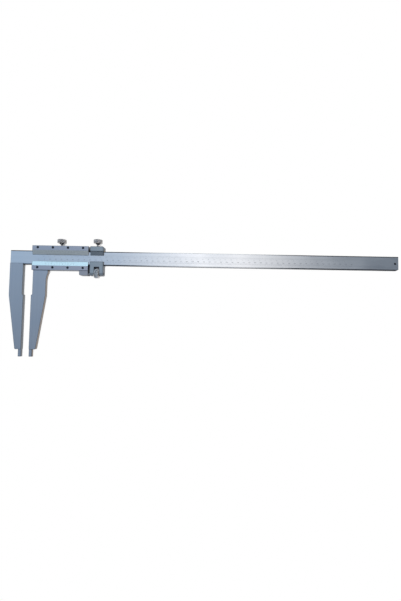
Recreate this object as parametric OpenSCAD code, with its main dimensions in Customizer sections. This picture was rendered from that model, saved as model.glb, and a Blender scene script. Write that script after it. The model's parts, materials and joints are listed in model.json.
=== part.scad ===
// Long jaw vernier caliper with fine adjustment.
// x = 0 is the fixed jaw's measuring face and +X runs along the beam towards its free end.
// y = 0 is halfway down that face and +Y points to the thumb screws.
// z = 0 is the middle of the beam's thickness and +Z points out of the scale face.

/* [Beam] */
// Height of the beam, across its scale face
beam_h = 25; // [22:0.5:30]
// Thickness of the beam
beam_t = 6; // [5:0.25:7]
// Distance from the fixed measuring face to the beam's free end
beam_reach = 657; // [400:0.5:900]
// Chamfer along the beam's long edges
beam_chamfer = 0.5; // [0.2:0.1:0.9]
// Length of the cut across the free end's lower corner
end_cut_l = 4; // [2:0.5:5]
// Height of the cut across the free end's lower corner
end_cut_h = 2.2; // [1.5:0.1:5]
// Distance from the free end to the stop screw
stop_inset = 5.8; // [4:0.5:12]
// How far the stop screw stands out of the beam's back
stop_proud = 2.2; // [1.5:0.1:3]

/* [Jaws] */
// Distance from the beam's lower edge to the tips of the nibs
jaw_reach = 160.3; // [120:0.5:260]
// Thickness of both jaws
jaw_t = 8; // [7.5:0.25:11]
// Width of a jaw behind its measuring face
jaw_w = 25; // [20:0.1:28]
// Width of a jaw at its narrow end
jaw_tip_w = 11.2; // [8:0.1:14]
// Distance below the beam at which the outer edge begins to taper
taper_start = 54; // [40:1:90]
// Distance below the beam at which the measuring face begins
relief_l = 53; // [40:1:80]
// Depth of the relief above the measuring face
relief_d = 2; // [1:0.1:3]
// Radius in the corner of the relief
relief_r = 1; // [0.5:0.1:1]
// Length of the nibs
nib_l = 12.6; // [8:0.1:16]
// Width of a nib, which is also the radius of its rounded outer face
nib_w = 6; // [4:0.1:7]
// Thickness of a nib
nib_t = 6; // [5:0.1:7.5]
// Radius on the outer bottom corner of a jaw
tip_r = 1.5; // [0.5:0.1:2.5]
// How far the fixed jaw laps up over the beam
jaw_lap = 2.5; // [1.5:0.1:4]
// Opening between the measuring faces as shown
jaw_gap = 13.5; // [6:0.5:40]

/* [Slider] */
// Length of the slider
slider_l = 98.2; // [90:0.1:120]
// Thickness of the wall behind the beam
back_t = 4.45; // [3.5:0.05:6]
// Height of the wall under the beam
under_h = 9.5; // [8:0.1:11]
// Height of the wall above the gib
over_h = 6.7; // [6.5:0.1:9]
// Thickness of the two plates on the slider's front
plate_t = 3; // [2.6:0.1:3.6]
// Width of a plate's bevel
bevel_w = 7.8; // [6:0.1:9]
// Width of the flat strip on each plate
strip_w = 8; // [7.5:0.1:9]
// Thickness of a plate at its graduated edge
bevel_edge_t = 0.6; // [0.4:0.1:1]
// Thickness of the gibs
gib_t = 1.9; // [1.5:0.1:2.4]
// Width of the jaw's tongue inside the slider
tongue_w = 28; // [25.5:0.1:32]
// Height over which the moving jaw widens towards its root
flare_h = 14; // [10:1:30]
// Height of the moving jaw's wide root below the slider
root_h = 5; // [2:0.5:10]
// Chamfer along the slider's back edges
back_chamfer = 0.6; // [0.4:0.1:1.5]
// Length of the boss that holds the adjusting rod
boss_l = 15.5; // [12:0.1:20]
// Radius on the boss's lower corner
boss_r = 3; // [1:0.5:4]
// How far the boss stands in front of the beam's scale face
boss_proud = 2; // [1.6:0.1:2.6]

/* [Fine adjustment] */
// Space between the slider and the carriage
carriage_gap = 3; // [3:0.1:8]
// Length of the carriage
carriage_l = 23.6; // [20:0.1:32]
// How far the carriage's lower lip covers the beam's scale face
lower_lip = 6.9; // [4:0.1:8]
// How far the carriage's upper lip covers the beam's scale face
upper_lip = 7; // [3:0.1:8]
// How far the upper lip's front stands back
lip_step = 1; // [0.5:0.1:1.4]
// Radius on the carriage's outer corners
carriage_r = 2.6; // [1:0.1:3.5]
// How far the carriage's lower front stands in front of the beam's scale face
carriage_proud = 2.5; // [1.6:0.1:3]
// Distance from the beam's lower edge to the adjusting rod
rod_drop = 13.8; // [13:0.1:17]
// Diameter of the adjusting rod
rod_d = 4; // [3:0.1:4.4]
// Wall under the adjusting rod
rod_floor = 2; // [1.6:0.1:3]
// How far the rod's end lies inside the carriage's far side
rod_inset = 3.5; // [3.5:0.1:6]
// Diameter of the nut
nut_d = 16.4; // [14:0.1:18]
// Length of the nut
nut_l = 8.9; // [6:0.1:11]
// Space above the nut in its window
nut_space = 3; // [1:0.1:4.5]
// Chamfer on the nut's rims
nut_chamfer = 1; // [0.5:0.1:1.5]

/* [Thumb screws] */
// Diameter of a thumb screw's head
head_d = 15.4; // [13:0.1:17]
// Thickness of the knurled rim
head_t = 6.9; // [3:0.1:8]
// Height of the cone under the rim
neck_h = 2.3; // [2:0.1:5]
// Diameter of the threaded stem
stem_d = 4; // [3:0.1:4.4]
// Bare stem between the slider's top and the cone
stem_bare = 2.8; // [2:0.1:6]
// Clearance of a pressure pad above its gib
pad_lift = 0.3; // [0.1:0.05:0.5]
// How much further out the carriage's thumb screw is turned
carriage_screw_out = 0.7; // [0:0.05:1.4]
// Thickness of a pressure pad
pad_t = 2; // [1.6:0.1:2.6]
// Distance from the slider's left end to its thumb screw
lock_x = 49.4; // [44:0.5:55]

/* [Small screws] */
// Diameter of the plate screws' heads
plate_head_d = 3.4; // [3:0.1:4]
// Thickness of the plate screws' heads
plate_head_t = 1.5; // [1:0.1:1.6]
// How far the plate screws' heads lie below the surface
plate_head_sunk = 0.5; // [0.2:0.1:0.6]
// Diameter of the plate screws' threads
plate_screw_d = 2.5; // [2:0.1:2.6]
// How deep the plate screws go into the slider
plate_screw_l = 4; // [3:0.1:5]
// Distance from the slider's ends to the nearest upper plate screws
plate_screw_x = 9.5; // [8:0.1:12]
// How much further from the slider's left end the lower plate's screws are
lower_row_shift = 0.4; // [0:0.1:2]
// Distance of the plate screws above the middle of their strips
plate_screw_lift = 0.7; // [0:0.1:1]
// Distance from the slider's left end to the first gib screw
gib_screw_x = 22; // [18:0.5:30]
// Distance between the gib screws
gib_screw_pitch = 54; // [45:0.5:58]
// Diameter of the gib screws
gib_screw_d = 3; // [2:0.1:3.6]
// Diameter of the rivets through the moving jaw
rivet_d = 3; // [2:0.1:4]
// Distance from the measuring face to the first rivet
rivet_x = 4.5; // [4:0.1:5.5]
// Distance between the rivets
rivet_pitch = 14; // [12:0.1:17]
// Diameter of the adjusting rod's cross pin
pin_d = 1.6; // [1:0.1:2]

/* [Fits] */
// Running clearance along the beam and in bores
run = 0.05; // [0.03:0.01:0.1]

/* [Hidden] */
$fn = 96;

steel = [0.66, 0.70, 0.76];
jaw_steel = [0.55, 0.61, 0.69];
bright_steel = [0.78, 0.86, 0.90];
dark_steel = [0.24, 0.26, 0.30];
brass = [0.78, 0.62, 0.32];

// Reaches past a surface that a cut has to break
past = 1;
// The beam's lower edge, with y = 0 halfway down the measuring face
edge_y = (jaw_reach + relief_l) / 2;
// Half the thickness of the slot that the beam runs in
slot_z = beam_t / 2 + run;
// The slider's back, on which the caliper lies
back_z = -(slot_z + back_t);
front_z = slot_z + plate_t;
// The wall above the beam begins here, with the gib in between
gib_top = beam_h + gib_t + 2 * run;
top_y = gib_top + over_h;
slider_x = jaw_gap;
slider_end = slider_x + slider_l;
carriage_x = slider_end + carriage_gap;
carriage_end = carriage_x + carriage_l;
carriage_mid = carriage_x + carriage_l / 2;
rod_bottom = -(rod_drop + rod_d / 2 + rod_floor);
// The nut and the thumb screws' heads just reach the plane that the caliper lies on
nut_z = back_z + nut_d / 2;
head_z = back_z + head_d / 2;
stem_top = top_y + stem_bare;
flare_w = tongue_w - jaw_w;
flare_r = (flare_h * flare_h + flare_w * flare_w) / (2 * flare_w);
plate_screw_count = 4;
plate_screw_pitch = (slider_l - 2 * plate_screw_x) / (plate_screw_count - 1);
slot_w = 0.6;
slot_depth = 0.6;
// Each slot is turned by this many degrees for every millimetre along the slider
slot_turn = 20;
// Spare depth at the bottom of a screw's hole
hole_spare = 0.5;
// The plate screws' heads have this much room across their seats
seat_spare = 0.4;
// The button on a lock screw's end, which its pad swivels on
tip_button_d = 1.6;
tip_button_l = 1.2;
// A lock screw's head: width of its cone, chamfers, and the dish in its top
cone_d = 9.6;
cone_rise = 0.4;
head_chamfer = 0.7;
dish_d = 8.4;
dish_depth = 0.6;
dish_slope = 0.8;
// Knurling: width of a groove, how far its round centre lies outside the rim, and how many there are
groove_w = 1.3;
groove_out = 0.3;
head_grooves = 24;
nut_grooves = 28;
lip_chamfer = 0.5;
// The step across the carriage's upper front lies this far above the beam's top edge
lip_step_y = 0.3;
flare_facets = 720;
groove_facets = 24;
// The points of the gib screws
dog_d = gib_screw_d / 2;
dog_l = gib_t / 3;

// Measures y from the beam's lower edge
module at_edge() translate([0, edge_y, 0]) children();

// A section in Y and Z that runs along X from x0 for length l
module along_x(x0, l, section) {
    translate([x0, 0, 0])
        rotate([90, 0, 90])
            linear_extrude(l)
                polygon(section);
}

// A plate in X and Y from z0 to z1
module plate_z(z0, z1) translate([0, 0, z0]) linear_extrude(z1 - z0) children();

module rod_x(x, y, z, d, l) translate([x, y, z]) rotate([0, 90, 0]) cylinder(d = d, h = l);

module rod_y(x, y, z, d, l) translate([x, y, z]) rotate([-90, 0, 0]) cylinder(d = d, h = l);

module rod_z(x, y, z, d, l) translate([x, y, z]) cylinder(d = d, h = l);

// What has to come off a square corner at the origin, which points to -X and -Y, to round it
module corner_2d(r) {
    difference() {
        translate([-past, -past]) square(r + past);
        translate([r, r]) circle(r = r);
    }
}

// Straight knurling: grooves in a rim round the Z axis
module knurl(d, h, count) {
    for (i = [0 : count - 1])
        rotate(i * 360 / count)
            translate([d / 2 + groove_out, 0, -past])
                cylinder(d = groove_w, h = h + 2 * past, $fn = groove_facets);
}

// A cheese-head screw that points to -Z, with the top of its head at the origin
module cheese_head_screw(l) {
    difference() {
        union() {
            rod_z(0, 0, -plate_head_t, plate_head_d, plate_head_t);
            rod_z(0, 0, -plate_head_t - l, plate_screw_d, l + past / 2);
        }
        translate([-plate_head_d, -slot_w / 2, -slot_depth])
            cube([2 * plate_head_d, slot_w, slot_depth + past]);
    }
}

function plate_screw_xs(first) = [for (i = [0 : plate_screw_count - 1])
    slider_x + first + i * plate_screw_pitch];
upper_screw_xs = plate_screw_xs(plate_screw_x);
lower_screw_xs = plate_screw_xs(plate_screw_x + lower_row_shift);
upper_screw_y = top_y - strip_w / 2 + plate_screw_lift;
lower_screw_y = -under_h + strip_w / 2 + plate_screw_lift;
gib_screw_xs = [slider_x + gib_screw_x, slider_x + gib_screw_x + gib_screw_pitch];
rivet_xs = [slider_x + rivet_x, slider_x + rivet_x + rivet_pitch];
rivet_y = -under_h / 2;

// The whole jaw seen from the front, with its measuring face at x = 0 and its back towards +X
module jaw_2d(top, root_w) {
    foot = -(jaw_reach - nib_l);
    difference() {
        union() {
            polygon([[0, top], [jaw_w, top], [jaw_w, -taper_start], [jaw_tip_w, foot], [0, foot]]);
            if (root_w > jaw_w)
                difference() {
                    translate([jaw_w - past, top - root_h - flare_h])
                        square([root_w - jaw_w + past, root_h + flare_h]);
                    translate([jaw_w + flare_r, top - root_h - flare_h])
                        circle(r = flare_r, $fn = flare_facets);
                }
        }
        // the relief above the measuring face, with a round corner
        translate([-past, -relief_l]) square([relief_d + past - relief_r, relief_l + top + past]);
        translate([-past, -relief_l + relief_r]) square([relief_d + past, relief_l + top + past]);
        translate([relief_d - relief_r, -relief_l + relief_r]) circle(r = relief_r);
        // the rounded outer corner at the bottom
        translate([jaw_tip_w, foot]) mirror([1, 0]) corner_2d(tip_r);
    }
}

// The nib below a jaw: flat on the measuring side and round behind, for inside measurements
module nib() {
    translate([0, -(jaw_reach - nib_l) + past, 0])
        rotate([90, 0, 0])
            intersection() {
                cylinder(r = nib_w, h = nib_l + past);
                translate([0, -nib_t / 2, -past]) cube([nib_w + past, nib_t, nib_l + 3 * past]);
            }
}

module beam() color(steel) at_edge() {
    half = beam_t / 2;
    c = beam_chamfer;
    difference() {
        along_x(-jaw_w, jaw_w + beam_reach, [[0, c - half], [c, -half], [beam_h - c, -half],
            [beam_h, c - half], [beam_h, half - c], [beam_h - c, half], [c, half], [0, half - c]]);
        // the lower corner of the free end is cut off
        plate_z(-beam_t, beam_t)
            translate([beam_reach, 0])
                polygon([[-end_cut_l, 0], [0, end_cut_h], [past, end_cut_h], [past, -past],
                    [-end_cut_l, -past]]);
        // the stop screw's hole and the seat of its head
        rod_z(beam_reach - stop_inset, beam_h / 2, -beam_t, plate_screw_d + run, 2 * beam_t);
        rod_z(beam_reach - stop_inset, beam_h / 2, half - plate_head_t - plate_head_sunk,
            plate_head_d + seat_spare, beam_t);
    }
}

module fixed_jaw() color(jaw_steel) at_edge() {
    difference() {
        mirror([1, 0, 0]) plate_z(-jaw_t / 2, jaw_t / 2) jaw_2d(jaw_lap, jaw_w);
        // the groove that the beam is brazed into
        translate([-jaw_w - past, 0, -beam_t / 2]) cube([jaw_w + 2 * past, jaw_lap + past, beam_t]);
    }
    mirror([1, 0, 0]) nib();
}

module end_stop_screw() color(dark_steel) at_edge() {
    translate([beam_reach - stop_inset, beam_h / 2, beam_t / 2 - plate_head_sunk])
        cheese_head_screw(beam_t + stop_proud - plate_head_t - plate_head_sunk);
}

module slider_frame() color(steel) at_edge() {
    c = back_chamfer;
    difference() {
        union() {
            along_x(slider_x, slider_l, [[-under_h, back_z + c], [c - under_h, back_z],
                [top_y - c, back_z], [top_y, back_z + c], [top_y, slot_z], [gib_top, slot_z],
                [gib_top, -slot_z], [-run, -slot_z], [-run, slot_z], [-under_h, slot_z]]);
            // the boss that holds the adjusting rod
            plate_z(back_z, beam_t / 2 + boss_proud)
                translate([slider_end - boss_l, rod_bottom])
                    difference() {
                        square([boss_l, -under_h - rod_bottom]);
                        corner_2d(boss_r);
                    }
            along_x(slider_end - boss_l, boss_l, [[-under_h - past, back_z], [c - under_h, back_z],
                [c - under_h, slot_z], [-under_h - past, slot_z]]);
        }
        // the seat of the moving jaw's tongue
        translate([slider_x - past, -under_h - past, -slot_z])
            cube([tongue_w + past, under_h + 2 * past, beam_t + past]);
        for (x = rivet_xs)
            rod_z(x, rivet_y, back_z - past, rivet_d + run, -back_z + past);
        for (x = upper_screw_xs)
            rod_z(x, upper_screw_y, slot_z - plate_screw_l - hole_spare, plate_screw_d + run, beam_t);
        for (x = lower_screw_xs)
            rod_z(x, lower_screw_y, slot_z - plate_screw_l - hole_spare, plate_screw_d + run, beam_t);
        for (x = gib_screw_xs)
            rod_y(x, gib_top - past, 0, gib_screw_d + 2 * run, over_h + 2 * past);
        rod_y(slider_x + lock_x, gib_top - past, head_z, stem_d + 2 * run, over_h + 2 * past);
        rod_x(slider_end - boss_l + rod_floor, -rod_drop, nut_z, rod_d + run, boss_l);
        rod_z(slider_end - boss_l / 2, -rod_drop, back_z - past, pin_d + run,
            nut_z + rod_d / 2 + 2 * past - back_z);
    }
}

module moving_jaw() color(jaw_steel) at_edge() translate([slider_x, 0, 0]) {
    difference() {
        union() {
            plate_z(-jaw_t / 2, jaw_t / 2) jaw_2d(-under_h, tongue_w);
            // the tongue goes up behind the lower plate, and fills the relief's width there
            translate([0, -under_h, -slot_z]) cube([tongue_w, under_h - run, 2 * slot_z]);
        }
        for (x = rivet_xs)
            rod_z(x - slider_x, rivet_y, -beam_t, rivet_d + run, 2 * beam_t);
        rod_z(lower_screw_xs[0] - slider_x, lower_screw_y, slot_z - plate_screw_l - hole_spare,
            plate_screw_d + run, beam_t);
    }
    nib();
}

module jaw_rivets() color(steel) at_edge() {
    for (x = rivet_xs)
        rod_z(x, rivet_y, back_z, rivet_d, slot_z - back_z);
}

module plate_holes(xs, y) {
    for (x = xs) {
        rod_z(x, y, 0, plate_screw_d + 2 * run, 2 * front_z);
        rod_z(x, y, front_z - plate_head_t - plate_head_sunk, plate_head_d + seat_spare, front_z);
    }
}

module upper_vernier_plate() color(steel) at_edge() {
    strip_y = top_y - strip_w;
    difference() {
        along_x(slider_x, slider_l, [[strip_y - bevel_w, slot_z], [strip_y - bevel_w, slot_z + bevel_edge_t],
            [strip_y, front_z], [top_y, front_z], [top_y, slot_z]]);
        plate_holes(upper_screw_xs, upper_screw_y);
    }
}

module lower_vernier_plate() color(bright_steel) at_edge() {
    strip_y = strip_w - under_h;
    difference() {
        along_x(slider_x, slider_l, [[-under_h, slot_z], [-under_h, front_z], [strip_y, front_z],
            [strip_y + bevel_w, slot_z + bevel_edge_t], [strip_y + bevel_w, slot_z]]);
        plate_holes(lower_screw_xs, lower_screw_y);
    }
}

module plate_screws(xs, y) {
    for (x = xs)
        translate([x, y, front_z - plate_head_sunk])
            rotate(slot_turn * (x - slider_x))
                cheese_head_screw(plate_t - plate_head_t - plate_head_sunk + plate_screw_l);
}

module upper_plate_screws() color(dark_steel) at_edge() plate_screws(upper_screw_xs, upper_screw_y);

module lower_plate_screws() color(dark_steel) at_edge() plate_screws(lower_screw_xs, lower_screw_y);

// A gib lies between the beam's top edge and the wall above it
module gib(x0, l) {
    translate([x0, beam_h + run, -beam_t / 2 + run]) cube([l, gib_t, beam_t - 2 * run]);
}

module slider_gib() color(brass) at_edge() {
    difference() {
        gib(slider_x + run, slider_l - 2 * run);
        // the seats of the gib screws' points
        for (x = gib_screw_xs)
            rod_y(x, beam_h + run + gib_t - dog_l, 0, dog_d + 2 * run, dog_l + past);
    }
}

module gib_screws() color(dark_steel) at_edge() {
    seat = beam_h + run + gib_t;
    for (x = gib_screw_xs)
        difference() {
            union() {
                rod_y(x, seat, 0, gib_screw_d, top_y - seat - slot_depth);
                rod_y(x, seat - dog_l, 0, dog_d, dog_l + past);
            }
            translate([x - slot_w / 2, top_y - 2 * slot_depth, -gib_screw_d])
                cube([slot_w, 2 * slot_depth, 2 * gib_screw_d]);
        }
}

module fine_adjust_rod() color(steel) at_edge() {
    start = slider_end - boss_l + rod_floor;
    difference() {
        rod_x(start, -rod_drop, nut_z, rod_d, carriage_end - rod_inset - start);
        rod_z(slider_end - boss_l / 2, -rod_drop, nut_z - rod_d, pin_d + run, 2 * rod_d);
    }
}

module rod_pin() color(dark_steel) at_edge() {
    rod_z(slider_end - boss_l / 2, -rod_drop, back_z + slot_depth, pin_d,
        nut_z + rod_d / 2 - back_z - slot_depth);
}

// A pressure pad under a lock screw, swivelling on the screw's button
module lock_pad(x, lift) {
    foot = gib_top - run + lift;
    difference() {
        rod_y(x, foot, head_z, stem_d - run, pad_t);
        rod_y(x, foot + pad_t - tip_button_l - run, head_z, tip_button_d + 2 * run,
            tip_button_l + past);
    }
}

// A lock screw: button, threaded stem, cone and knurled head
module lock_screw(x, lift) {
    seat = gib_top - run + lift + pad_t;
    bare = stem_top - (gib_top - run + pad_lift + pad_t);
    rim = bare + neck_h;
    top = rim + head_t;
    r = head_d / 2;
    translate([x, seat, head_z]) rotate([-90, 0, 0]) {
        difference() {
            rotate_extrude()
                polygon([[0, -tip_button_l], [tip_button_d / 2, -tip_button_l], [tip_button_d / 2, 0],
                    [stem_d / 2, 0], [stem_d / 2, bare], [cone_d / 2, rim - cone_rise],
                    [r - head_chamfer, rim], [r, rim + head_chamfer], [r, top - head_chamfer],
                    [r - head_chamfer, top], [dish_d / 2, top], [dish_d / 2 - dish_slope, top - dish_depth],
                    [0, top - dish_depth]]);
            translate([0, 0, rim]) knurl(head_d, head_t, head_grooves);
        }
    }
}

module slider_lock_pad() color(brass) at_edge() lock_pad(slider_x + lock_x, pad_lift);

module slider_lock_screw() color(steel) at_edge() lock_screw(slider_x + lock_x, pad_lift);

module carriage_frame() color(steel) at_edge() {
    c = back_chamfer;
    lip_z = front_z - lip_step;
    lower_z = beam_t / 2 + carriage_proud;
    lip_y = beam_h - upper_lip;
    difference() {
        along_x(carriage_x, carriage_l, [[rod_bottom, back_z + c], [rod_bottom + c, back_z],
            [top_y - c, back_z], [top_y, back_z + c], [top_y, front_z],
            [beam_h + lip_step_y, front_z], [beam_h + lip_step_y, lip_z], [lip_y, slot_z + bevel_edge_t],
            [lip_y, slot_z], [gib_top, slot_z], [gib_top, -slot_z], [-run, -slot_z],
            [-run, slot_z], [lower_lip, slot_z], [lower_lip, lower_z - lip_chamfer],
            [lower_lip - lip_chamfer, lower_z], [rod_bottom, lower_z]]);
        // the window that the nut turns in
        translate([carriage_mid - nut_l / 2 - run, rod_bottom - past, back_z - past])
            cube([nut_l + 2 * run, -rod_drop + nut_d / 2 + nut_space - rod_bottom + past,
                front_z - back_z + 2 * past]);
        rod_x(carriage_x - past, -rod_drop, nut_z, rod_d + 2 * run, carriage_l + 2 * past);
        rod_y(carriage_mid, gib_top - past, head_z, stem_d + 2 * run, over_h + 2 * past);
        // the rounded corners at the far end
        plate_z(back_z - past, front_z + past) {
            translate([carriage_end, top_y]) rotate(180) corner_2d(carriage_r);
            translate([carriage_end, rod_bottom]) rotate(90) corner_2d(carriage_r);
        }
    }
}

module carriage_gib() color(brass) at_edge() gib(carriage_x + run, carriage_l - 2 * run);

// The carriage's screw and its pad are further out than the slider's
carriage_lift = pad_lift + carriage_screw_out;

module carriage_lock_pad() color(brass) at_edge() lock_pad(carriage_mid, carriage_lift);

module carriage_lock_screw() color(steel) at_edge() lock_screw(carriage_mid, carriage_lift);

module fine_adjust_nut() color(steel) at_edge() {
    r = nut_d / 2;
    bore = rod_d / 2 + run;
    c = nut_chamfer;
    translate([carriage_mid - nut_l / 2, -rod_drop, nut_z]) rotate([0, 90, 0])
        difference() {
            rotate_extrude()
                polygon([[bore, 0], [r - c, 0], [r, c], [r, nut_l - c], [r - c, nut_l], [bore, nut_l]]);
            knurl(nut_d, nut_l, nut_grooves);
        }
}

beam();
fixed_jaw();
end_stop_screw();
slider_frame();
moving_jaw();
jaw_rivets();
upper_vernier_plate();
lower_vernier_plate();
upper_plate_screws();
lower_plate_screws();
slider_gib();
gib_screws();
fine_adjust_rod();
rod_pin();
slider_lock_pad();
slider_lock_screw();
carriage_frame();
carriage_gib();
carriage_lock_pad();
carriage_lock_screw();
fine_adjust_nut();
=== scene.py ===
# %% [markdown]
# # A long jaw vernier caliper
# The caliper lies on its back on a white table, with its jaws a little open. Its solids arrive
# at their real size and place, so this lesson adds what the grinding wheel, the lathe and the
# engraver leave on them: the finish of the steel, the knurling, the threads and the scales.

# %% The frame
import json
import math
import bmesh
import bpy
from mathutils import Matrix, Vector


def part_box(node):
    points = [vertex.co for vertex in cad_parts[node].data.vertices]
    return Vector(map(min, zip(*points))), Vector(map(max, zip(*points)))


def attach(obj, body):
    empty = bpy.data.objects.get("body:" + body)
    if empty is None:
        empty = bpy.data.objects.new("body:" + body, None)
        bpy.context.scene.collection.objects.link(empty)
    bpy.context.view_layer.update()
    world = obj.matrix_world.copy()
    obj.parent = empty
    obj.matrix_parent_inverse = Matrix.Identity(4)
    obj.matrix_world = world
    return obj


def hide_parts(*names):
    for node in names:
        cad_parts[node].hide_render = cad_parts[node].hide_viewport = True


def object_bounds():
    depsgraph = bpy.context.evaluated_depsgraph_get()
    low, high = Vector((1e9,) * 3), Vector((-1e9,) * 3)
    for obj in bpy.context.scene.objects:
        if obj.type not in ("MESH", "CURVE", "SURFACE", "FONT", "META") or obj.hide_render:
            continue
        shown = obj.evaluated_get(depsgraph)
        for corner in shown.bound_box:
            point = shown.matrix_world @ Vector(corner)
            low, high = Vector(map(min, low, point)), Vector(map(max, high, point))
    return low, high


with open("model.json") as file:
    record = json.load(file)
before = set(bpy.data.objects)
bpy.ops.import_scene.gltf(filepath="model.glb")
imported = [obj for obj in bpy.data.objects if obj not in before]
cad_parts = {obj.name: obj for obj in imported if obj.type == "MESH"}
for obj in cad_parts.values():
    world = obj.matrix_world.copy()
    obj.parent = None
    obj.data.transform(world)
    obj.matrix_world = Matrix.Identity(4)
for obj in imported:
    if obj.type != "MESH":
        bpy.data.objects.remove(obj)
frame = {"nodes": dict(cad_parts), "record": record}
nodes = frame["nodes"]
cad_low, cad_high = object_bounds()
mm = 0.001
print("the caliper's box in mm:", [round(side / mm, 1) for side in cad_high - cad_low])

# %% [markdown]
# ## The camera
# A camera could be moved by eye until its picture looks right, but a fit to straight edges, such
# as the beam's and the jaws', fixes it much better. This one looks down on the middle of the beam
# from 65 cm. It is tilted by three degrees and turned by one, so the beam runs a little downhill,
# and it sees the right-hand sides of the jaws. The lens comes from the focal length in pixels of
# a frame that is 601 pixels high.

# %% The camera
photo_height = 601
focal_pixels = 370
camera_place = Vector((306.2, 12.55, 648.7)) * mm
camera_tilt = math.radians(3.19)
camera_yaw = math.radians(-0.32)
camera_roll = math.radians(0.96)

camera = bpy.data.objects.new("camera", bpy.data.cameras.new("camera"))
bpy.context.collection.objects.link(camera)
camera.location = camera_place
camera.rotation_euler = (camera_tilt, camera_yaw, camera_roll)
camera.data.sensor_width = 36
camera.data.lens = camera.data.sensor_width * focal_pixels / photo_height
camera.data.clip_start = 10 * mm
bpy.context.scene.camera = camera
bpy.context.scene.view_settings.view_transform = "Standard"
print("lens in mm:", round(camera.data.lens, 2))


# %% [markdown]
# ## Sums as shaders
# A material is easier to read as arithmetic than as a drawing of boxes and wires. The class
# below wraps one socket, so that adding or multiplying two of them adds a Math node.

# %% One socket with arithmetic
class Socket:
    """An output in a tree of shader nodes. Sums with it become Math nodes."""

    def __init__(self, tree, output):
        self.tree = tree
        self.output = output

    def sum(self, operation, *values):
        inputs = dict(enumerate(values))
        return node(self.tree, "Math", {"operation": operation}, inputs)

    def __add__(self, other):
        return self.sum("ADD", self, other)

    def __sub__(self, other):
        return self.sum("SUBTRACT", self, other)

    def __rsub__(self, other):
        return self.sum("SUBTRACT", other, self)

    def __mul__(self, other):
        return self.sum("MULTIPLY", self, other)

    def __truediv__(self, other):
        return self.sum("DIVIDE", self, other)

    def __abs__(self):
        return self.sum("ABSOLUTE", self)

    __radd__ = __add__
    __rmul__ = __mul__


# %% [markdown]
# Any other node comes from `node`, which takes its type, its settings and what goes into its
# inputs. A number or a colour is written into an input, and a socket is wired to it. A function
# for each kind of node would read better here and there, but this one does for all of them.

# %% One function for every node
def node(tree, kind, settings, inputs, output=0):
    """Adds a node, applies its settings, fills its inputs and returns one output."""
    made = tree.nodes.new("ShaderNode" + kind)
    for name, value in settings.items():
        setattr(made, name, value)
    for key, value in inputs.items():
        if isinstance(value, Socket):
            tree.links.new(value.output, made.inputs[key])
        else:
            made.inputs[key].default_value = value
    return Socket(tree, made.outputs[output]) if len(made.outputs) else made


# %% [markdown]
# Three sums are used so often that they get a name: a smooth step from one value to another, the
# larger of two values, and a noise that swings round zero.

# %% Steps and swings
def between(value, low, high):
    """0 below low, 1 above high and a smooth rise from one to the other."""
    settings = {"interpolation_type": "SMOOTHSTEP"}
    return node(value.tree, "MapRange", settings, {0: value, 1: low, 2: high, 3: 0.0, 4: 1.0})


def larger(value, other):
    """The larger of two values."""
    return value.sum("MAXIMUM", value, other)


def swing(noise, amount):
    """A noise of 0 to 1, turned into a small change up or down."""
    return (noise - 0.5) * amount


# %% [markdown]
# Colours never go through a Math node, which would turn them grey: a Mix node blends them and a
# Vector Math node scales them. The last helper hands out empty materials, because the nodes that
# come with a new one aren't wanted.

# %% Colours and coordinates
def mix_colour(share, first, second):
    """The first colour where share is 0 and the second where it is 1."""
    paints = [value if isinstance(value, Socket) else (*value, 1) for value in (first, second)]
    return node(share.tree, "Mix", {"data_type": "RGBA"}, {0: share, 6: paints[0], 7: paints[1]}, 2)


def scaled(colour, amount):
    """A colour made lighter or darker by a factor."""
    return node(colour.tree, "VectorMath", {"operation": "SCALE"}, {0: colour, "Scale": amount})


def part(tree, vector, axis):
    """One coordinate of a vector."""
    return node(tree, "SeparateXYZ", {}, {0: vector}, axis)


def new_material(name):
    """An empty material and its tree of nodes."""
    material = bpy.data.materials.new(name)
    material.use_nodes = True
    material.node_tree.nodes.clear()
    return material, material.node_tree


# %% [markdown]
# ## The studio
# Polished steel has almost no colour of its own: it shows the room. So the room is built first.
# A lit table would be greyer than paper white, and more light would wash out the steel. So to the
# camera, and in reflections, the table is an even white glow, and only to other rays is it matt
# white. Its shadow is dark and close, as under a wide soft light: an Ambient Occlusion node finds
# where the caliper shuts the room out, such as under the beam and in the carriage's window.

# %% The white table
table_z = cad_low.z
table_half = 4.0
shade_reach = 9 * mm
shut_in, in_the_open = 0.18, 0.36
deep_shade = (0.035, 0.04, 0.055)
white = (1.0, 1.0, 1.0)


def seen_directly(tree):
    """1 for rays from the camera and for those that steel and glass pass on."""
    kinds = ("Is Camera Ray", "Is Glossy Ray", "Is Transmission Ray")
    ways = [node(tree, "LightPath", {}, {}, kind) for kind in kinds]
    return between(ways[0] + ways[1] + ways[2], 0.0, 1.0)


def table_material():
    """White, with a shadow close to the caliper."""
    material, tree = new_material("white_table")
    opening = node(tree, "AmbientOcclusion", {"samples": 12}, {"Distance": shade_reach}, "AO")
    tint = mix_colour(between(opening, shut_in, in_the_open), deep_shade, white)
    matt = node(tree, "BsdfDiffuse", {}, {"Color": (0.95, 0.95, 0.95, 1)})
    glow = node(tree, "Emission", {}, {"Color": tint, "Strength": 1.0})
    surface = node(tree, "MixShader", {}, {0: seen_directly(tree), 1: matt, 2: glow})
    node(tree, "OutputMaterial", {}, {"Surface": surface})
    return material


table_mesh = bpy.data.meshes.new("table")
build = bmesh.new()
bmesh.ops.create_grid(build, size=table_half, matrix=Matrix.Translation((0, 0, table_z)))
build.to_mesh(table_mesh)
build.free()
table = bpy.data.objects.new("table", table_mesh)
bpy.context.collection.objects.link(table)
table_mesh.materials.append(table_material())
print("the table is", 2 * table_half, "m wide")

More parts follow.
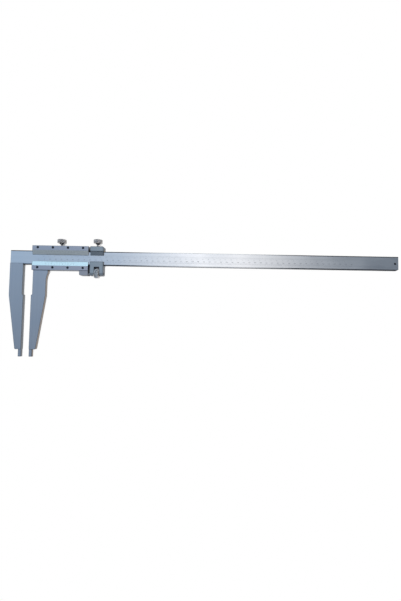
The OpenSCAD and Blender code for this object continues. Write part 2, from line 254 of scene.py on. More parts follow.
# %% [markdown]
# Boards could stand round the table as a ceiling and walls, but the world's own shader can paint
# the same room by direction. `rise` is 1 straight up and 0 at the horizon, and a lean says how
# far a direction goes sideways for each step up, which is a place on the ceiling. The ceiling is
# blue grey, brightest on the left, and about half as bright on the near side as on the far one.

# %% The ceiling
left_ceiling = (0.49, 0.69, 0.97)
right_ceiling = (0.10, 0.128, 0.178)
left_to_right = (-0.35, 0.4)
near_tint = (0.66, 0.62, 0.58)
middle_tint = (0.52, 0.52, 0.505)
near_to_middle = (-0.35, -0.15)
middle_to_far = (-0.12, 0.10)
least_rise = 0.05

world = bpy.data.worlds.new("studio")
bpy.context.scene.world = world
world.use_nodes = True
sky = world.node_tree
sky.nodes.clear()
towards = node(sky, "TexCoord", {}, {}, "Generated")
across, onward, rise = [part(sky, towards, axis) for axis in "XYZ"]
steep = larger(rise, least_rise)
lean_x, lean_y = across / steep, onward / steep
sideways = mix_colour(between(lean_x, *left_to_right), left_ceiling, right_ceiling)
near_half = mix_colour(between(lean_y, *near_to_middle), near_tint, middle_tint)
lengthways = mix_colour(between(lean_y, *middle_to_far), near_half, white)
ceiling = node(sky, "VectorMath", {"operation": "MULTIPLY"}, {0: sideways, 1: lengthways})
print("the ceiling is painted with", len(sky.nodes), "nodes")

# %% [markdown]
# At the back the ceiling ends in a bright wall, which the slider's lower bevel mirrors. The low
# walls are grey, so that the chamfers and the knurling stand out from the faces, and they have a
# bright gap on the near side. Close to the horizon all is white, as the table is. The camera
# itself sees only white: it looks past the room, and only the reflections tell of it.

# %% The walls
back_wall = (0.95, 1.15, 1.28)
ceiling_to_back = (0.35, 0.8)
low_wall = (0.38, 0.40, 0.43)
bright_gap = (2.8, 2.85, 2.9)
gap_sides = (0.78, 0.94)
gap_near = (0.5, 0.8)
horizon_to_walls = (0.02, 0.10)
walls_to_ceiling = (0.35, 0.60)

overhead = mix_colour(between(lean_y, *ceiling_to_back), ceiling, back_wall)
gap = between(1 - abs(across), *gap_sides) * between(0 - onward, *gap_near)
walls = mix_colour(gap, low_wall, bright_gap)
all_round = mix_colour(between(rise, *horizon_to_walls), white, walls)
room = mix_colour(between(rise, *walls_to_ceiling), all_round, overhead)
shown = mix_colour(node(sky, "LightPath", {}, {}, "Is Camera Ray"), room, white)
node(sky, "OutputWorld", {}, {"Surface": node(sky, "Background", {}, {"Color": shown})})
print("the whole room is painted with", len(sky.nodes), "nodes")

# %% [markdown]
# One large lamp hangs behind the beam, where the middle of the beam mirrors it to the camera. So
# the beam is brightest there and falls off to both ends, and its roughness turns the lamp's hard
# outline into that long soft gradient. An area lamp of one plain colour, slightly warm, does it:
# its energy is worked out from how bright its surface should look.

# %% The lamp
lamp_radiance = 1.67
lamp_colour = (1.0, 0.93, 0.86)
lamp_width, lamp_depth = 0.58, 0.90
lamp_place = Vector((0.396, 0.32, 1.10))

lamp = bpy.data.lights.new("large_lamp", "AREA")
lamp.shape = "RECTANGLE"
lamp.size, lamp.size_y = lamp_width, lamp_depth
lamp.color = lamp_colour
lamp.energy = lamp_radiance * math.pi * lamp_width * lamp_depth
lamp_holder = bpy.data.objects.new("large_lamp", lamp)
lamp_holder.location = lamp_place
bpy.context.collection.objects.link(lamp_holder)
print("the lamp gives", round(lamp.energy, 2), "W")

# %% [markdown]
# ## Where a finish changes
# Four masks tell a material where it is on a piece. A painted texture could hold all of them, but
# masks need no unwrapping and never run out of detail. The first two are noise: streaks, which are
# stretched along one axis, as a grinding wheel leaves them, and clouds, the soft stains of
# handling. The two rates are grains to a metre, across a streak and along it.

# %% Streaks and clouds
streaks_across = 2600
streaks_along = 25


def where(tree):
    """A point's place on the object, in metres."""
    return node(tree, "TexCoord", {}, {}, "Object")


def streaks(tree, along, zoom=1.0, detail=3.0):
    """Noise in long streaks along X, Y or Z."""
    rates = [streaks_along if axis == along else streaks_across for axis in "XYZ"]
    stretch = {0: where(tree), 1: [rate * zoom for rate in rates]}
    stretched = node(tree, "VectorMath", {"operation": "MULTIPLY"}, stretch)
    return node(tree, "TexNoise", {}, {"Vector": stretched, "Scale": 1.0, "Detail": detail})


def clouds(tree, size, detail=4.0):
    """Noise in soft clouds of about that size."""
    return node(tree, "TexNoise", {}, {"Vector": where(tree), "Scale": 1 / size, "Detail": detail})


# %% [markdown]
# The other two masks look at normals. An edge is where a normal that is rounded off by the Bevel
# node differs from the true one, and a face is known by the axis that it looks along.

# %% Edges and faces
edge_radius = 0.3 * mm


def round_normal(tree, radius):
    """The normal that the piece would have with rounded edges."""
    return node(tree, "Bevel", {"samples": 6}, {"Radius": radius})


def edge_line(tree, radius, faint, full):
    """1 along sharp edges and 0 on open faces."""
    true = node(tree, "NewGeometry", {}, {}, "Normal")
    soft = round_normal(tree, radius)
    alike = node(tree, "VectorMath", {"operation": "DOT_PRODUCT"}, {0: soft, 1: true}, "Value")
    return between(1 - alike, faint, full)


def facing(tree, axis, low, high):
    """1 on faces that look along an axis, either way, and 0 on the others."""
    normal = node(tree, "TexCoord", {}, {}, "Normal")
    return between(abs(part(tree, normal, axis)), low, high)


# %% [markdown]
# ## Dark borders
# Painted shade darkens the beam's two long borders, least of all round its middle, and the
# lower and right edges of the carriage. A border could be a strip of its own, but as a mask it
# fades softly into the steel. Each band has a width and a fade, and starts at a side of the
# node's own box, so it follows the solid if that changes.

# %% Dark borders
beam_middle = 330 * mm
border_shade_span = (60 * mm, 170 * mm)
upper_band = (1.9 * mm, 0.7 * mm)
upper_least = 0.0
lower_band = (2.2 * mm, 0.6 * mm)
lower_least = 0.35
carriage_low_band = (5.0 * mm, 0.8 * mm)
carriage_low_share = 0.42
carriage_right_band = (2.6 * mm, 0.6 * mm)
carriage_right_share = 0.25


def band(distance, width, fade):
    """1 at a side and 0 beyond a width, with a soft limit between them."""
    return between(width - distance, 0, fade)


def from_middle(tree, near, far):
    """0 round the middle of the beam and 1 towards both of its ends."""
    return between(abs(part(tree, where(tree), "X") - beam_middle), near, far)


def beam_border(tree):
    """1 where painted shade darkens the beam's two long borders, and less round its middle."""
    low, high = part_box("beam")
    height = part(tree, where(tree), "Y")
    end_shade = from_middle(tree, *border_shade_span)
    upper = band(high.y - height, *upper_band) * (upper_least + end_shade * (1 - upper_least))
    lower = band(height - low.y, *lower_band) * (lower_least + end_shade * (1 - lower_least))
    return upper + lower


def carriage_border(tree):
    """Painted shade, part dark along the carriage's lower edge and its right one."""
    low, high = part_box("carriage_frame")
    lower = band(part(tree, where(tree), "Y") - low.y, *carriage_low_band)
    right = band(high.x - part(tree, where(tree), "X"), *carriage_right_band)
    return larger(lower * carriage_low_share, right * carriage_right_share)


# %% [markdown]
# ## Steel
# All the metals of the caliper share one surface. Its normal is rounded at the edges, so that
# they catch a thin line of light, and a shallow bump on top of that carries the grain.

# %% The surface of a metal
grain_strength = 0.25
ground_depth = 0.02 * mm


def steel_shader(tree, colour, rough, grain, depth=ground_depth):
    """A metal surface with a colour, a roughness and a grain that raises it."""
    bump = node(tree, "Bump", {}, {
        "Height": grain, "Strength": grain_strength, "Distance": depth,
        "Normal": round_normal(tree, edge_radius)})
    return node(tree, "BsdfPrincipled", {}, {
        "Base Color": colour, "Metallic": 1.0, "Roughness": rough, "Normal": bump})


# %% [markdown]
# The beam and the jaws are hardened steel, ground flat. A surface grinder leaves fine straight
# scratches in one direction, and they give most of the finish: they drive a little colour, a
# little roughness and a shallow bump. A bump alone would show only where the light grazes. The
# narrow sides and chamfers are painted darker than the faces, and the edges get a dark line:
# both are painted shade.

# %% A shader for ground steel
# dark_edge is painted shade, laid along the edges and the borders.
dark_edge = (0.04, 0.045, 0.055)
edge_found = (0.002, 0.03)
edge_least, edge_patchy = 0.6, 0.6
patch_size = 7 * mm
stain_size = 40 * mm
broad_zoom = 0.12
fine_share, broad_share = 0.6, 0.4
up_or_down = (0.80, 0.92)
not_upright = (0.3, 0.5)
leaning = (0.12, 0.2)


def ground_steel(name, along, face, side, rough=0.34, edge_w=0.7 * mm, slope=None, chamfer=None,
                 border=None):
    """Steel that is ground along one axis, with sides and edges darkened by painted shade."""
    material, tree = new_material(name)
    fine = streaks(tree, along)
    broad = streaks(tree, along, broad_zoom, 2.0)
    stains = clouds(tree, stain_size)
    patches = edge_least + clouds(tree, patch_size) * edge_patchy
    edge = edge_line(tree, edge_w, *edge_found) * patches
    if border:
        edge = larger(edge, border(tree) * facing(tree, "Z", *not_upright))
    # The side and chamfer colours are painted shade, darker than the faces.
    upper = mix_colour(facing(tree, "Y", *leaning), face, slope) if slope else face
    lower = mix_colour(facing(tree, "Z", *not_upright), side, chamfer) if chamfer else side
    faces = mix_colour(facing(tree, "Z", *up_or_down), lower, upper)
    shaded_at_edges = mix_colour(edge, faces, dark_edge)
    tone = 1 + swing(fine, 0.1) + swing(broad, 0.1) + swing(stains, 0.08)
    roughness = rough + swing(fine, 0.12) + swing(stains, 0.16) + edge * 0.08
    grain = fine * fine_share + broad * broad_share
    shader = steel_shader(tree, scaled(shaded_at_edges, tone), roughness, grain)
    node(tree, "OutputMaterial", {}, {"Surface": shader})
    return material


# %% [markdown]
# One steel could serve them all, but each ground piece came off the wheel with its own direction
# and polish. The beam, the slider and the carriage are ground along the beam, and the jaws along
# their own length. The beam is the brightest, with the finest edges and chamfers paler than its
# sides. The carriage has a wide dark edge and a darker slope in front. On every steel the dark
# sides, chamfers and edges are painted shade.

# %% Steels for the ground pieces
beam_steel = ground_steel(
    "beam_steel", "X", face=(0.645, 0.65, 0.66), side=(0.11, 0.115, 0.13), rough=0.38,
    edge_w=0.15 * mm, chamfer=(0.40, 0.41, 0.43), border=beam_border)
fixed_jaw_steel = ground_steel(
    "fixed_jaw_steel", "Y", face=(0.475, 0.463, 0.468), side=(0.16, 0.17, 0.185))
moving_jaw_steel = ground_steel(
    "moving_jaw_steel", "Y", face=(0.48, 0.465, 0.47), side=(0.24, 0.21, 0.19))
slider_steel = ground_steel(
    "slider_steel", "X", face=(0.42, 0.385, 0.38), side=(0.12, 0.13, 0.15), rough=0.38)
carriage_steel = ground_steel(
    "carriage_steel", "X", face=(0.355, 0.37, 0.37), side=(0.12, 0.13, 0.15), rough=0.38,
    edge_w=1.2 * mm, slope=(0.235, 0.245, 0.25), border=carriage_border)
ground_steels = (beam_steel, fixed_jaw_steel, moving_jaw_steel, slider_steel, carriage_steel)
print("ground finishes:", [steel.name for steel in ground_steels])


# %% [markdown]
# ## Satin plates
# The two front plates have a ground strip for their screws and a bevel that carries the vernier.
# The bevels are plated with satin chrome, which is matt and pale so that the marks read without
# glare. Strip and bevel could have a material each, but one can tell them apart by the normal,
# which leans along Y on the bevel. Their dark sides and edges are painted shade, and the lower
# bevel's cyan tint is a painted reflection of the bright back wall.

# %% Satin chrome on the bevels
# plate_side is painted shade for the plates' narrow sides.
plate_side = (0.14, 0.15, 0.17)
plate_edge_w = 0.7 * mm
plate_edge_share = 0.8
plating_grain = 0.25 * mm
strip_rough, bevel_rougher = 0.34, 0.1


def plate_steel(name, strip, bevel):
    """Ground steel with one finish on the strip and another on the bevel, and painted shade at the
    sides.
    """
    material, tree = new_material(name)
    fine = streaks(tree, "X")
    broad = streaks(tree, "X", broad_zoom, 2.0)
    matt = clouds(tree, plating_grain, 2.0)
    edge = edge_line(tree, plate_edge_w, *edge_found)
    front = facing(tree, "Z", *up_or_down)
    on_bevel = facing(tree, "Y", *leaning) * front
    faces = mix_colour(on_bevel, mix_colour(front, plate_side, strip), bevel)
    shaded_at_edges = mix_colour(edge * plate_edge_share, faces, dark_edge)
    tone = 1 + swing(fine, 0.08) + swing(broad, 0.08) + swing(matt, 0.05)
    roughness = strip_rough + on_bevel * bevel_rougher + swing(fine, 0.1)
    grain = fine * (1 - on_bevel) + matt * on_bevel
    shader = steel_shader(tree, scaled(shaded_at_edges, tone), roughness, grain)
    node(tree, "OutputMaterial", {}, {"Surface": shader})
    return material


upper_plate_steel = plate_steel(
    "upper_plate_steel", strip=(0.48, 0.45, 0.46), bevel=(0.635, 0.615, 0.565))
# The lower bevel's cyan tint is a painted reflection of the bright back wall.
lower_plate_steel_and_sheen = plate_steel(
    "lower_plate_steel_and_sheen", strip=(0.48, 0.44, 0.45), bevel=(0.70, 0.85, 0.90))
print("plate finishes:", upper_plate_steel.name, lower_plate_steel_and_sheen.name)


# %% [markdown]
# ## Turned, blackened and brass pieces
# The small screws are blackened against rust, and the gibs and pressure pads are brass, which
# is softer than the steel that it slides on. The thumb screws and the nut are chromed. The bottom
# of the knurling is darker, with oily dirt and painted shade, the edges are lighter, with wear
# and a painted glint, and there are lighter and darker patches where fingers turn them. The
# grooves could be found by the distance from the axis, but an attribute that the knurling wheel
# leaves on the mesh says it at any place and angle.

# %% Small metals
bright_edge = (0.01, 0.12)
edge_polish_and_glint = 1.6
groove_dirt_and_shade = (0.05, 0.05, 0.055)
dirt_and_shade_least, dirt_and_shade_patchy = 0.55, 0.5
fingerprint = 3 * mm
fingerprint_fade = (0.40, 0.60)
turned_zoom = 1.4
turned_depth = 0.01 * mm


def turned_metal(name, colour, rough, along, dirt_and_shade=groove_dirt_and_shade, handled=0.0, wear=0.3):
    """Turned or milled metal, with dirt and painted shade where groove is 1 and painted glints at
    edges.
    """
    material, tree = new_material(name)
    fine = streaks(tree, along, turned_zoom)
    stains = clouds(tree, fingerprint)
    groove = node(tree, "Attribute", {"attribute_name": "groove"}, {}, "Fac")
    edge = edge_line(tree, edge_radius, *bright_edge)
    # The grooves are darkened with dirt and painted shade, and the edges lightened with wear and a
    # painted glint.
    base = mix_colour(groove * (dirt_and_shade_least + stains * dirt_and_shade_patchy), colour, dirt_and_shade)
    polished_and_glint = tuple(min(1.0, value * edge_polish_and_glint) for value in colour)
    rubbed_and_glinting = mix_colour(edge * wear, base, polished_and_glint)
    tone = 1 + swing(fine, 0.12) + swing(between(stains, *fingerprint_fade), handled)
    roughness = rough + swing(stains, 0.2) + groove * 0.25
    shader = steel_shader(tree, scaled(rubbed_and_glinting, tone), roughness, fine, turned_depth)
    node(tree, "OutputMaterial", {}, {"Surface": shader})
    return material


black_steel = turned_metal("black_steel", (0.04, 0.044, 0.055), 0.42, "Z")
brass = turned_metal("brass", (0.36, 0.27, 0.13), 0.42, "X")
head_chrome = turned_metal("head_chrome", (0.525, 0.50, 0.485), 0.17, "Y",
                           dirt_and_shade=(0.015, 0.015, 0.017), handled=0.6, wear=0.6)
nut_chrome = turned_metal("nut_chrome", (0.64, 0.62, 0.61), 0.17, "Y",
                          dirt_and_shade=(0.01, 0.01, 0.012), handled=0.7, wear=0.6)
turned_steel = turned_metal("turned_steel", (0.46, 0.48, 0.51), 0.28, "X")
rivet_steel = turned_metal("rivet_steel", (0.40, 0.42, 0.45), 0.34, "Z")
small_metals = (black_steel, brass, head_chrome, nut_chrome, turned_steel, rivet_steel)
print("small metals:", [metal.name for metal in small_metals])

# %% [markdown]
# Each solid could be given its finish where its piece is made, but one table is easier to check:
# it says at a glance which solid has which finish, and the copies with broken edges look theirs
# up in it.

# %% A finish for every solid
finishes = {
    "beam": beam_steel, "fixed_jaw": fixed_jaw_steel, "moving_jaw": moving_jaw_steel,
    "slider_frame": slider_steel, "carriage_frame": carriage_steel, "jaw_rivets": rivet_steel,
    "upper_vernier_plate": upper_plate_steel, "lower_vernier_plate": lower_plate_steel_and_sheen,
    "upper_plate_screws": black_steel, "lower_plate_screws": black_steel,
    "gib_screws": black_steel, "end_stop_screw": black_steel, "rod_pin": black_steel,
    "slider_gib": brass, "carriage_gib": brass,
    "slider_lock_pad": brass, "carriage_lock_pad": brass,
    "slider_lock_screw": head_chrome, "carriage_lock_screw": head_chrome,
    "fine_adjust_nut": nut_chrome, "fine_adjust_rod": turned_steel,
}
for name, solid in nodes.items():
    solid.data.materials.clear()
    solid.data.materials.append(finishes[name])
print("gave a finish to", len(nodes), "solids")

# %% [markdown]
# ## From a bmesh to a piece
# A turned piece is shaped round the origin, with its own axis upright, and then moved to its place
# inside its mesh. Its object stays at the origin, as a solid's does, so that its pattern never
# slides. Seams are merged and faces turned outwards before a piece is shown. Then it rides on the
# body that it moves with, and takes the place of the plain solid, if there is one. Smoothing every
# face would bend the shading of the flat ones, so only the narrow facets of a curve are smoothed:
# they are the ones that meet a neighbour at a small angle.

# %% Finishing a piece
weld_distance = 0.002 * mm
flat_angle = math.radians(0.5)
curve_angle = math.radians(14)
tooth_angle = math.radians(32)


def smooth_curves(build, steepest):
    """Smooths only the facets that make up a curve, so that flat faces stay flat."""
    for face in build.faces:
        bends = [edge.calc_face_angle() for edge in face.edges if edge.is_manifold]
        face.smooth = any(flat_angle < bend < steepest for bend in bends)


def finish_piece(build, name, body, material, replaced=None, steepest=tooth_angle):
    """Turns a bmesh into a named piece that rides on a body."""
    bmesh.ops.remove_doubles(build, verts=build.verts, dist=weld_distance)
    bmesh.ops.recalc_face_normals(build, faces=build.faces)
    smooth_curves(build, steepest)
    mesh = bpy.data.meshes.new(name)
    build.to_mesh(mesh)
    open_edges = sum(1 for edge in build.edges if not edge.is_manifold)
    print(name, "has", len(mesh.polygons), "faces and", open_edges, "open edges")
    build.free()
    mesh.set_sharp_from_angle(angle=steepest)
    mesh.materials.append(material)
    piece = bpy.data.objects.new(name, mesh)
    bpy.context.collection.objects.link(piece)
    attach(piece, body)
    if replaced:
        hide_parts(replaced)


# %% [markdown]
# ## Broken edges
# No edge that comes off a grinder stays sharp: it is broken with a stone, so that it doesn't cut
# the hand. The solids arrive as loose triangles with knife edges. A copy of each is merged, its
# flat faces are dissolved into whole ones and its sharp edges get a narrow bevel. A bent normal
# would be cheaper, but real geometry also catches the light where it is seen from close by. Small
# screws get a narrower one. A rounded side stays round, because its facets meet at small angles.

# %% Breaking the edges
edge_angle = math.radians(40)
edge_breaks = {
    "beam": 0.2, "fixed_jaw": 0.2, "moving_jaw": 0.2, "jaw_rivets": 0.1, "slider_frame": 0.2,
    "carriage_frame": 0.1, "upper_vernier_plate": 0.15, "lower_vernier_plate": 0.15,
    "slider_gib": 0.15, "carriage_gib": 0.15, "upper_plate_screws": 0.05,
    "lower_plate_screws": 0.05, "gib_screws": 0.05, "end_stop_screw": 0.05, "rod_pin": 0.1,
    "slider_lock_pad": 0.1, "carriage_lock_pad": 0.1,
}
body_of = {member: body for body, members in frame["record"]["behaviour"]["bodies"].items()
           for member in members}


def break_edges(solid, width):
    """Shows a solid as a merged copy of itself whose sharp edges have a bevel."""
    build = bmesh.new()
    build.from_mesh(nodes[solid].data)
    bmesh.ops.remove_doubles(build, verts=build.verts, dist=weld_distance)
    bmesh.ops.dissolve_limit(build, angle_limit=flat_angle, verts=build.verts,
                             edges=build.edges, use_dissolve_boundaries=False, delimit=set())
    sharp = [edge for edge in build.edges
             if edge.is_manifold and edge.calc_face_angle() > edge_angle]
    bmesh.ops.bevel(build, geom=sharp, offset=width, offset_type="OFFSET", segments=1,
                    profile=0.5, affect="EDGES", clamp_overlap=False, material=-1)
    finish_piece(build, "finished_" + solid, body_of[solid], finishes[solid], solid,
                 steepest=curve_angle)


for solid, width in edge_breaks.items():
    break_edges(solid, width * mm)

# %% [markdown]
# ## Turned pieces
# A screw is turned on a lathe, and `spin` is Blender's lathe: half of the section goes round the
# Z axis. Knurling is then pressed into the rim. It could be a bump, but the outline of the head
# would stay round. The spin has four steps for each tooth, and two of the four rows of points are
# pushed in, which leaves a flat-topped tooth between two grooves.

# %% The lathe and the knurling wheel
def turn(build, outline, steps, closed=False):
    """Spins an outline of (radius, height) points round the Z axis."""
    points = [build.verts.new((radius, 0, height)) for radius, height in outline]
    ends = points[1:] + points[:1] if closed else points[1:]
    edges = [build.edges.new(pair) for pair in zip(points, ends)]
    bmesh.ops.spin(build, geom=points + edges, cent=(0, 0, 0), axis=(0, 0, 1), dvec=(0, 0, 0),
                   angle=2 * math.pi, steps=steps, use_merge=True, use_duplicate=False)
    bmesh.ops.remove_doubles(build, verts=build.verts, dist=weld_distance)


def knurl(build, teeth, root, low, high):
    """Presses grooves down to a root radius into the rim between two heights."""
    groove = build.verts.layers.float.new("groove")
    rows = 4 * teeth
    for point in build.verts:
        radius = math.hypot(point.co.x, point.co.y)
        row = round(math.atan2(point.co.y, point.co.x) / (2 * math.pi) * rows) % 4
        if radius > root and low <= point.co.z <= high and row > 1:
            point[groove] = 1
            point.co.x *= root / radius
            point.co.y *= root / radius


# %% [markdown]
# A thread is a ridge with a V section, wound round a core. Rings would look much the same from
# far off, but a real thread climbs. Spin can climb while it turns, so one small section makes the
# whole helix, with its first and last copies as closed ends. The pitch is 0.7 mm, that of an
# ordinary 4 mm screw, and the thread is right-handed.

# %% The thread
thread_pitch = 0.7 * mm
thread_depth = 0.35 * mm
thread_sunk = 0.05 * mm
thread_foot, thread_top = 0.47, 0.08
thread_steps = 18


def wind_thread(build, crest, low, high):
    """Winds a ridge round the Z axis from one height to another, with its crest at a radius."""
    root = crest - thread_depth - thread_sunk
    section = [(root, -thread_foot), (crest, -thread_top), (crest, thread_top), (root, thread_foot)]
    start = low + thread_pitch / 2
    corners = [build.verts.new((r, 0, start + share * thread_pitch)) for r, share in section]
    face = build.faces.new(corners)
    turns = (high - low) / thread_pitch - 1
    steps = round(turns * thread_steps)
    bmesh.ops.spin(build, geom=[*corners, *face.edges, face], cent=(0, 0, 0), axis=(0, 0, 1),
                   dvec=(0, 0, turns * thread_pitch / steps), angle=2 * math.pi * turns,
                   steps=steps, use_merge=False, use_duplicate=False)


# %% [markdown]
# ## The two thumb screws
# From its tip a lock screw has a button that the pressure pad swivels on, a threaded stem, a cone
# and a knurled head with a shallow dish, which keeps the lathe's centre mark. Cylinders could be
# stacked for them, but all of it is one turned outline, so it is drawn as one, in four strokes.
# The button is measured up from the tip, and the head and its cone down from the top.

# %% The outline of a thumb screw
head_rim_t = 6.9 * mm
head_cone_t = 2.3 * mm
head_chamfer = 0.7 * mm
head_soft = 0.25 * head_chamfer
stem_r = 2.0 * mm
cone_r = 4.8 * mm
lip_w, lip_h = 0.3 * mm, 0.4 * mm
button_r, button_l = 0.8 * mm, 1.2 * mm
dish_r, dish_depth, dish_slope = 4.2 * mm, 0.6 * mm, 0.8 * mm
centre_r, centre_depth = 0.5 * mm, 0.3 * mm
nick = 0.1 * mm


def screw_outline(length, rim_r):
    """Half a thumb screw's section as (radius, height) points, from the tip up to the dish."""
    rim = length - head_rim_t
    cone = rim - head_cone_t
    core = stem_r - thread_depth
    inner_r = rim_r - head_chamfer
    button = [(0, 0), (button_r - nick, 0), (button_r, nick), (button_r, button_l)]
    stem = [(core - 2 * nick, button_l), (core, button_l + 2 * nick), (core, cone - thread_pitch),
            (stem_r, cone - thread_pitch / 2), (stem_r, cone)]
    head = [(cone_r, rim - lip_h), (cone_r + lip_w, rim - nick / 2), (inner_r, rim),
            (rim_r - head_soft, rim + head_chamfer - head_soft), (rim_r, rim + head_chamfer),
            (rim_r, length - head_chamfer), (rim_r - head_soft, length - head_chamfer + head_soft),
            (inner_r, length - nick / 2), (inner_r - nick, length)]
    dish = [(dish_r + nick, length), (dish_r, length - nick),
            (dish_r - dish_slope, length - dish_depth), (centre_r, length - dish_depth),
            (0, length - dish_depth - centre_depth)]
    return button + stem + head + dish


# %% [markdown]
# Both screws are made alike from the box of the solid that they stand for: spun, knurled and
# threaded upright at the origin, and then laid along Y with the tip towards the beam. One could
# be a copy of the other, but a second call also takes its size from its own solid.

# %% The two thumb screws
head_teeth = 40
knurl_depth = 0.38 * mm


def thumb_screw(replaced, name, body):
    """A knurled screw in the place of a plain solid, with its tip towards the beam."""
    low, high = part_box(replaced)
    middle = (low + high) / 2
    rim_r = (high.x - low.x) / 2
    length = high.y - low.y
    rim = length - head_rim_t
    cone = rim - head_cone_t
    build = bmesh.new()
    turn(build, screw_outline(length, rim_r), 4 * head_teeth)
    knurl(build, head_teeth, rim_r - knurl_depth, rim, length)
    wind_thread(build, stem_r, button_l + nick, cone - thread_pitch / 2)
    along_y = Matrix.Rotation(-math.pi / 2, 4, "X")
    place = Matrix.Translation((middle.x, low.y, middle.z)) @ along_y
    bmesh.ops.transform(build, matrix=place, verts=build.verts)
    finish_piece(build, name, body, head_chrome, replaced)


thumb_screw("slider_lock_screw", "slider_thumb_screw", "slider_screw")
thumb_screw("carriage_lock_screw", "carriage_thumb_screw", "carriage_screw")

# %% [markdown]
# ## The fine adjustment nut
# The nut is a wheel in the carriage's window. Its outline doesn't touch the axis, so it is turned
# as a closed ring with its bore left open. Its two faces are recessed a little, so that only the
# hub and the rim rub on the window. They are alike, so half of the outline is drawn, and the
# other half is the same points counted from the other face.

# %% The nut
nut_teeth = 44
nut_chamfer = 1.0 * mm
nut_rim_t = 1.9 * mm
nut_bore = 2.05 * mm
nut_hub = 3.6 * mm
nut_recess = 0.3 * mm
nut_nick, nut_soft = 0.2 * mm, 0.15 * mm

nut_low, nut_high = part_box("fine_adjust_nut")
nut_r = (nut_high.y - nut_low.y) / 2
nut_l = nut_high.x - nut_low.x
recess_r = nut_r - nut_rim_t
first_half = [
    (nut_bore, nut_nick), (nut_bore + nut_nick, 0), (nut_hub, 0), (nut_hub + nut_nick, nut_recess),
    (recess_r, nut_recess), (recess_r + nut_nick, 0), (nut_r - nut_chamfer, 0),
    (nut_r - nut_soft, nut_chamfer - nut_soft), (nut_r, nut_chamfer)]
second_half = [(radius, nut_l - height) for radius, height in reversed(first_half)]
build = bmesh.new()
turn(build, first_half + second_half, 4 * nut_teeth, closed=True)
knurl(build, nut_teeth, nut_r - knurl_depth, 0, nut_l)
along_beam = Matrix.Rotation(math.pi / 2, 4, "Y")
nut_middle = (nut_low + nut_high) / 2
nut_place = Matrix.Translation((nut_low.x, nut_middle.y, nut_middle.z)) @ along_beam
bmesh.ops.transform(build, matrix=nut_place, verts=build.verts)
finish_piece(build, "knurled_nut", "nut", nut_chrome, "fine_adjust_nut")

# %% [markdown]
# ## The adjusting rod
# The rod is plain where the slider's boss holds it and threaded from there on, so that the nut
# can climb along it. Its thread shows in the gap beside the carriage and under the nut. It is
# made as the screws' stems are, with the same lathe and the same thread.

# %% The rod
rod_nose = 0.3 * mm
rod_end = 0.4 * mm
rod_plain_l = 9 * mm
rod_steps = 36

rod_low, rod_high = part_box("fine_adjust_rod")
rod_r = (rod_high.y - rod_low.y) / 2
rod_l = rod_high.x - rod_low.x
rod_core = rod_r - thread_depth
build = bmesh.new()
turn(build, [
    (0, 0), (rod_r - rod_nose, 0), (rod_r, rod_nose), (rod_r, rod_plain_l),
    (rod_core, rod_plain_l + rod_end), (rod_core, rod_l - rod_end),
    (rod_core - rod_end, rod_l), (0, rod_l)], rod_steps)
wind_thread(build, rod_r, rod_plain_l + rod_end / 2, rod_l - rod_end)
rod_middle = (rod_low + rod_high) / 2
rod_place = Matrix.Translation((rod_low.x, rod_middle.y, rod_middle.z)) @ along_beam
bmesh.ops.transform(build, matrix=rod_place, verts=build.verts)
finish_piece(build, "threaded_rod", "slider", turned_steel, "fine_adjust_rod")

# %% [markdown]
# ## Engraved marks
# A mark could be painted in a shader, but a thin bar of ink is crisp from any distance and is
# part of the mesh. Each bar is sunk into the steel and stands out by less than the slider's
# running clearance. The figures are plain ones, from Blender's own font, made into a mesh and
# given the same thickness.

# %% Marks and figures
mark_w = 0.10 * mm
mark_proud = 0.018 * mm
mark_sunk = 0.03 * mm
mark_t = mark_proud + mark_sunk
mark_middle = (mark_proud - mark_sunk) / 2
capital_share = 0.73


def add_mark(build, place, x, y_from, y_to):
    """A bar along Y between two distances, on the plane that a matrix gives."""
    centre = Vector((x, (y_from + y_to) / 2, mark_middle))
    size = (mark_w, abs(y_to - y_from), mark_t, 1)
    box = place @ Matrix.Translation(centre) @ Matrix.Diagonal(size)
    bmesh.ops.create_cube(build, size=1, matrix=box)


def add_figures(build, place, text, height):
    """Plain figures of that height, with their middle at the origin of a matrix."""
    curve = bpy.data.curves.new("figures", "FONT")
    curve.body = text
    curve.size = height / capital_share
    curve.align_x, curve.align_y = "CENTER", "CENTER"
    curve.extrude = mark_t / 2
    curve.resolution_u = 3
    written = bpy.data.objects.new("figures", curve)
    mesh = bpy.data.meshes.new_from_object(written)
    mesh.transform(place @ Matrix.Translation((0, 0, mark_middle)))
    build.from_mesh(mesh)
    bpy.data.objects.remove(written)
    bpy.data.curves.remove(curve)
    bpy.data.meshes.remove(mesh)


# %% [markdown]
# The marks are filled with black enamel, which is wiped off the face and stays in them. One flat
# black would look printed, and years of use wear it grey: in clouds, and towards both ends of the
# beam. The upper scale has smaller figures and a fainter ink than the other scales.

# %% The enamel in the marks
ink_cloud = 6 * mm
ink_patches = (0.35, 0.75)
ink_fades = (90 * mm, 220 * mm)
ink_fade_share = 0.6
ink_rough, ink_rougher = 0.5, 0.2


def ink_material(name, deep, worn):
    """Black enamel that was wiped into the engraved marks, a little worn."""
    material, tree = new_material(name)
    wear = clouds(tree, ink_cloud)
    faded = between(wear, *ink_patches) + from_middle(tree, *ink_fades) * ink_fade_share
    colour = mix_colour(faded, deep, worn)
    roughness = ink_rough + wear * ink_rougher
    shader = node(tree, "BsdfPrincipled", {}, {"Base Color": colour, "Roughness": roughness})
    node(tree, "OutputMaterial", {}, {"Surface": shader})
    return material


scale_ink = ink_material("scale_ink", (0.09, 0.095, 0.105), (0.26, 0.265, 0.28))
faint_ink = ink_material("faint_ink", (0.20, 0.205, 0.215), (0.36, 0.365, 0.38))
print("inks:", scale_ink.name, faint_ink.name)

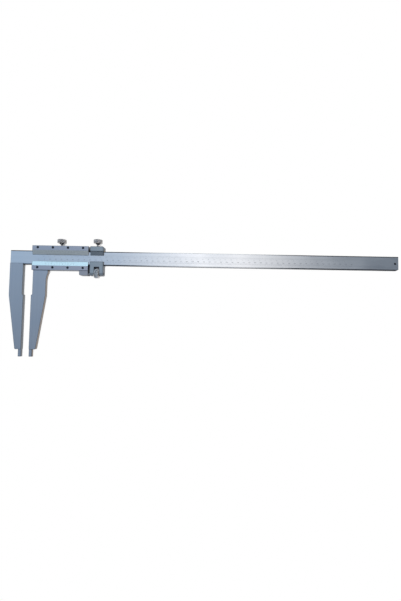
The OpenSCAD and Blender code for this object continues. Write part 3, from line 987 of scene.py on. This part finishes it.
# %% [markdown]
# ## The scales on the beam
# The beam carries two scales in millimetres. The lower one reads the opening between the jaws,
# and the upper one adds the thickness of the two nibs, for inside measurements. Every tenth mark
# is the longest and has its figures, every fifth is a little longer than the rest. The vernier's
# zero is 24 mm from the slider's left end, so that is where both scales count from when the jaws
# are closed. A mark could be repeated with an Array modifier, but a loop can give it its length.

# %% The two main scales
zero_inset = 24 * mm
scale_span = 550
nib_pair = 12
mark_ends = {10: 2.6 * mm, 5: 2.3 * mm, 1: 1.8 * mm}
mark_hidden = 0.8 * mm
figure_gap = 1.5 * mm
beam_figure_h, nib_figure_h = 1.75 * mm, 1.05 * mm

beam_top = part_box("beam")[1].z
beam_face = Matrix.Translation((0, 0, beam_top))
lower_low, lower_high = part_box("lower_vernier_plate")
upper_low, upper_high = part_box("upper_vernier_plate")


def mark_length(number):
    """How far a mark reaches past the plate's edge."""
    return next(mark_ends[step] for step in (10, 5, 1) if number % step == 0)


def main_scale(name, edge, inward, first, figure_h, ink):
    """A scale along the beam whose marks start under a plate's edge and point inward."""
    build = bmesh.new()
    for number in range(first, scale_span + 1):
        x = zero_inset + (number - first) * mm
        reach = edge + inward * mark_length(number)
        add_mark(build, beam_face, x, edge - inward * mark_hidden, reach)
    first_ten = math.ceil(first / 10) * 10
    y = edge + inward * (mark_ends[10] - mark_hidden / 2 + figure_gap)
    for number in range(first_ten, scale_span + 1, 10):
        x = zero_inset + (number - first) * mm
        add_figures(build, beam_face @ Matrix.Translation((x, y, 0)), str(number), figure_h)
    finish_piece(build, name, "beam", ink)


main_scale("outside_scale", lower_high.y, 1, 0, beam_figure_h, scale_ink)
main_scale("inside_scale", upper_low.y, -1, nib_pair, nib_figure_h, faint_ink)

# %% [markdown]
# ## The two verniers
# A vernier has 50 divisions in the length of 49 millimetres, so one of its marks always lines up
# with the beam to a fiftieth of a millimetre. It is cut into the bevel, so its plane is tilted:
# a matrix puts the origin on the plate's thin edge, with Y up or down the slope. With it, the
# marks and figures are laid out as simply as on the flat beam.

# %% Vernier marks
vernier_divisions = 50
vernier_step = 0.98 * mm
vernier_lengths = {5: 3.5 * mm, 1: 2.4 * mm}
vernier_figure_h = 1.7 * mm
edge_gap = 0.1 * mm
bevel_run = 7.8 * mm
thin_edge = 0.6 * mm


def vernier(name, box_low, box_high, edge, outward):
    """Marks and figures on a plate's bevel, from its thin edge outward."""
    slope = math.atan2(box_high.z - box_low.z - thin_edge, bevel_run)
    start = Vector((box_low.x + zero_inset, edge, box_low.z + thin_edge))
    plane = Matrix.Translation(start) @ Matrix.Rotation(outward * slope, 4, "X")
    build = bmesh.new()
    for number in range(vernier_divisions + 1):
        length = vernier_lengths[5 if number % 5 == 0 else 1]
        add_mark(build, plane, number * vernier_step, outward * edge_gap, outward * length)
    for number in range(0, vernier_divisions + 1, 5):
        middle = (number * vernier_step, outward * (vernier_lengths[5] + figure_gap), 0)
        figure = str(number // 5 % 10)
        add_figures(build, plane @ Matrix.Translation(middle), figure, vernier_figure_h)
    finish_piece(build, name, "slider", scale_ink)


vernier("outside_vernier", lower_low, lower_high, lower_high.y, -1)
vernier("inside_vernier", upper_low, upper_high, upper_low.y, 1)
